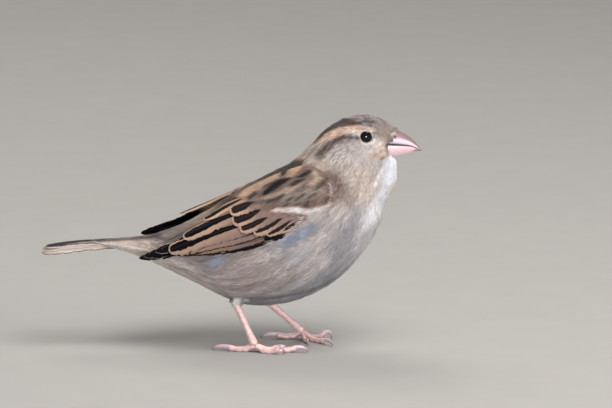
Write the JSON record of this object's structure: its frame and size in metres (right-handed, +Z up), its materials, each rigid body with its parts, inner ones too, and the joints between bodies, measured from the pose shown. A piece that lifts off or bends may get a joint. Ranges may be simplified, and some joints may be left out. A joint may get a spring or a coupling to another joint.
{
  "type": "house sparrow",
  "caption": "Life-size model of an adult female house sparrow standing on both feet, left foot forward, wings folded and tail level.",
  "frame": {"origin": "centre of the bounding box's base, on the ground that the toes rest on", "axes": "+X the way the bird faces, towards the bill; +Y to the bird's left; +Z up"},
  "size_m": [0.14, 0.0448, 0.0872],
  "materials": {
    "body_plumage": "soft grey-buff breast, flank and belly feathers, matt",
    "head_plumage": "grey-brown crown and cheek feathers with a buff brow and a whitish throat, matt",
    "wing_feather": "rufous and buff wing feathers with blackish centres, satin",
    "tail_feather": "dull brown tail feathers with paler edges, satin",
    "bill_upper": "pinkish horn with a browner ridge, smooth",
    "bill_lower": "pale pinkish cream horn, smooth",
    "eye": "blackish brown, wet and mirror-smooth",
    "leg_skin": "pale pinkish scaled skin, slightly waxy",
    "claw": "brown horn, smooth"
  },
  "bodies": {
    "root": {"bill_lower": "bill_lower", "bill_upper": "bill_upper", "claw_left_hallux": "claw", "claw_left_inner": "claw", "claw_left_middle": "claw", "claw_left_outer": "claw", "claw_right_hallux": "claw", "claw_right_inner": "claw", "claw_right_middle": "claw", "claw_right_outer": "claw", "eye_left": "eye", "eye_right": "eye", "head": "head_plumage", "neck": "head_plumage", "tail": "tail_feather", "tarsus_left": "leg_skin", "tarsus_right": "leg_skin", "thigh_left": "body_plumage", "thigh_right": "body_plumage", "toe_left_hallux": "leg_skin", "toe_left_inner": "leg_skin", "toe_left_middle": "leg_skin", "toe_left_outer": "leg_skin", "toe_right_hallux": "leg_skin", "toe_right_inner": "leg_skin", "toe_right_middle": "leg_skin", "toe_right_outer": "leg_skin", "trunk": "body_plumage", "wing_left_coverts": "wing_feather", "wing_left_primaries": "wing_feather", "wing_left_secondaries": "wing_feather", "wing_right_coverts": "wing_feather", "wing_right_primaries": "wing_feather", "wing_right_secondaries": "wing_feather"}
  },
  "joints": []
}
